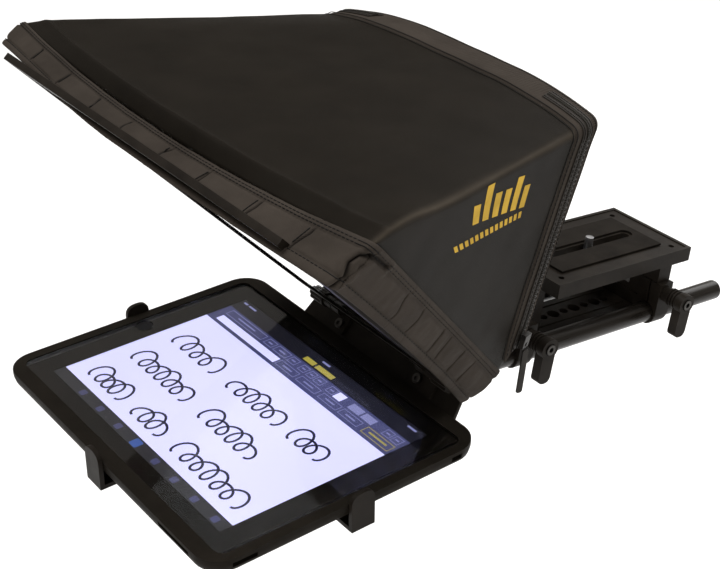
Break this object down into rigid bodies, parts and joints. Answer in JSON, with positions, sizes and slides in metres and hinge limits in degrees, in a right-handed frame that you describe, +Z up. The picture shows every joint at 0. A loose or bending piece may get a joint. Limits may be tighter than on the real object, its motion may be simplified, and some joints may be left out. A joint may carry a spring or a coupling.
{
  "type": "teleprompter",
  "caption": "Rod-mounted teleprompter: tablet cradle under an angled beam splitter, fabric hood with side zips and lens sleeve, raised camera plate on a rod base.",
  "frame": {"origin": "centre of the underside of the rod base, where a tripod plate meets it", "axes": "+Z up, +Y towards the camera operator along the rods, +X to the operator's side with the clamp levers"},
  "size_m": [0.3606, 0.5261, 0.2458],
  "materials": {
    "anodised": "black anodised, fine satin",
    "rod": "black anodised tube, satin",
    "moulded": "moulded, fine texture",
    "button": "smooth black",
    "case": "soft matt rubber",
    "pad": "ribbed rubber",
    "steel": "turned, plain",
    "zip_metal": "black enamel",
    "tablet_shell": "dark anodised",
    "cover_glass": "polished cover glass, black border",
    "mirror_glass": "half-silvered, polished",
    "screen": "lit display",
    "nylon": "black coated nylon",
    "webbing": "black woven tape, stitched",
    "zip_tape": "black zip tape with coil"
  },
  "bodies": {
    "base": {"base_plate": "anodised", "front_clamp": "anodised", "rear_clamp": "anodised", "front_riser": "anodised", "rear_riser": "anodised", "camera_plate": "anodised", "camera_pad": "pad"},
    "front_lever_body": {"front_lever": "moulded", "front_lever_screw": "steel"},
    "rear_lever_body": {"rear_lever": "moulded", "rear_lever_screw": "steel"},
    "washer": {"camera_washer": "steel"},
    "screw": {"camera_screw": "steel"},
    "rods": {"rod_left": "rod", "rod_right": "rod", "rod_socket_left": "anodised", "rod_socket_right": "anodised", "bracket_plate": "anodised", "glass_hinge_left": "anodised", "glass_hinge_right": "anodised", "glass_hinge_bolt_left": "steel", "glass_hinge_bolt_right": "steel", "tray_hinge": "anodised"},
    "left_glass_knob": {"glass_knob_left": "moulded"},
    "right_glass_knob": {"glass_knob_right": "moulded"},
    "tray_hinge_knob": {"tray_knob": "moulded"},
    "glass_and_hood": {"frame_bottom": "anodised", "frame_top": "anodised", "frame_left": "anodised", "frame_right": "anodised", "beam_splitter": "mirror_glass", "hood_top": "nylon", "hood_rear": "nylon", "hood_side_left": "nylon", "hood_side_right": "nylon", "band_top": "webbing", "band_left": "webbing", "band_right": "webbing", "zip_left": "zip_tape", "zip_right": "zip_tape", "lens_sleeve": "nylon"},
    "left_slider": {"zip_slider_left": "zip_metal"},
    "right_slider": {"zip_slider_right": "zip_metal"},
    "left_pull": {"zip_pull_left": "zip_metal"},
    "right_pull": {"zip_pull_right": "zip_metal"},
    "tray": {"cradle_plate": "anodised", "tablet_case": "case", "tablet_body": "tablet_shell", "tablet_glass": "cover_glass", "display_panel": "screen"},
    "home": {"home_button": "button"},
    "volume": {"volume_rocker": "button"},
    "power": {"power_button": "button"},
    "left_clip": {"clip_left": "anodised"},
    "right_clip": {"clip_right": "anodised"},
    "front_clip": {"clip_front": "anodised"},
    "left_clip_knob": {"clip_knob_left": "moulded"},
    "right_clip_knob": {"clip_knob_right": "moulded"},
    "front_clip_knob": {"clip_knob_front": "moulded"}
  },
  "joints": [
    {"name": "front_lever_turn", "type": "hinge", "parent": "base", "child": "front_lever_body", "pos_m": [0.05, -0.058, 0.03], "axis": [1, 0, 0], "range_deg": [0, 150]},
    {"name": "rear_lever_turn", "type": "hinge", "parent": "base", "child": "rear_lever_body", "pos_m": [0.05, 0.0815, 0.03], "axis": [1, 0, 0], "range_deg": [0, 150]},
    {"name": "camera_screw_slide", "type": "slide", "parent": "base", "child": "washer", "axis": [0, 1, 0], "range_m": [-0.036, 0.032]},
    {"name": "camera_screw_turn", "type": "hinge", "parent": "washer", "child": "screw", "pos_m": [0, 0.033, 0.055], "axis": [0, 0, 1], "continuous": true},
    {"name": "rod_slide", "type": "slide", "parent": "base", "child": "rods", "axis": [0, 1, 0], "range_m": [-0.06, 0.04]},
    {"name": "left_glass_knob_turn", "type": "hinge", "parent": "rods", "child": "left_glass_knob", "pos_m": [-0.065, -0.15747, 0.03724], "axis": [-1, 0, 0], "continuous": true},
    {"name": "right_glass_knob_turn", "type": "hinge", "parent": "rods", "child": "right_glass_knob", "pos_m": [0.065, -0.15747, 0.03724], "axis": [1, 0, 0], "continuous": true},
    {"name": "tray_knob_turn", "type": "hinge", "parent": "rods", "child": "tray_hinge_knob", "pos_m": [0.047, -0.17886, 0.00535], "axis": [1, 0, 0], "continuous": true},
    {"name": "glass_tilt", "type": "hinge", "parent": "rods", "child": "glass_and_hood", "pos_m": [0, -0.15747, 0.03724], "axis": [1, 0, 0], "range_deg": [-6, 27]},
    {"name": "tray_tilt", "type": "hinge", "parent": "rods", "child": "tray", "pos_m": [0, -0.17886, 0.00535], "axis": [1, 0, 0], "range_deg": [-5, 20]},
    {"name": "left_zip_run", "type": "slide", "parent": "glass_and_hood", "child": "left_slider", "axis": [-0.1654, 0.0269, 0.9859], "range_m": [0, 0.135]},
    {"name": "right_zip_run", "type": "slide", "parent": "glass_and_hood", "child": "right_slider", "axis": [0.1654, 0.0269, 0.9859], "range_m": [0, 0.135]},
    {"name": "left_pull_swing", "type": "hinge", "parent": "left_slider", "child": "left_pull", "pos_m": [-0.10055, -0.1262, 0.0675], "axis": [0, 1, 0], "range_deg": [0, 140]},
    {"name": "right_pull_swing", "type": "hinge", "parent": "right_slider", "child": "right_pull", "pos_m": [0.10055, -0.1262, 0.0675], "axis": [0, 1, 0], "range_deg": [-140, 0]},
    {"name": "home_press", "type": "slide", "parent": "tray", "child": "home", "axis": [0, 0.1097, -0.994], "range_m": [0, 0.0004], "stiffness_N_per_m": 900, "springref_m": -0.0002},
    {"name": "volume_rock", "type": "hinge", "parent": "tray", "child": "volume", "pos_m": [0.086, -0.36494, 0.00702], "axis": [0, -0.1097, 0.994], "range_deg": [-1, 1], "stiffness_Nm_per_rad": 0.4},
    {"name": "power_press", "type": "slide", "parent": "tray", "child": "power", "axis": [-1, 0, 0], "range_m": [0, 0.00025], "stiffness_N_per_m": 1500, "springref_m": -0.0001},
    {"name": "right_clip_slide", "type": "slide", "parent": "tray", "child": "right_clip", "axis": [1, 0, 0], "range_m": [0, 0.013]},
    {"name": "left_clip_slide", "type": "slide", "parent": "tray", "child": "left_clip", "axis": [-1, 0, 0], "range_m": [0, 0.013]},
    {"name": "front_clip_slide", "type": "slide", "parent": "tray", "child": "front_clip", "axis": [0, -0.994, -0.1097], "range_m": [0, 0.01]},
    {"name": "right_clip_knob_turn", "type": "hinge", "parent": "right_clip", "child": "right_clip_knob", "pos_m": [0.066, -0.26633, 0.0005], "axis": [0, -0.1097, 0.994], "continuous": true},
    {"name": "left_clip_knob_turn", "type": "hinge", "parent": "left_clip", "child": "left_clip_knob", "pos_m": [-0.066, -0.26633, 0.0005], "axis": [0, -0.1097, 0.994], "continuous": true},
    {"name": "front_clip_knob_turn", "type": "hinge", "parent": "front_clip", "child": "front_clip_knob", "pos_m": [0, -0.3195, -0.00537], "axis": [0, -0.1097, 0.994], "continuous": true}
  ]
}
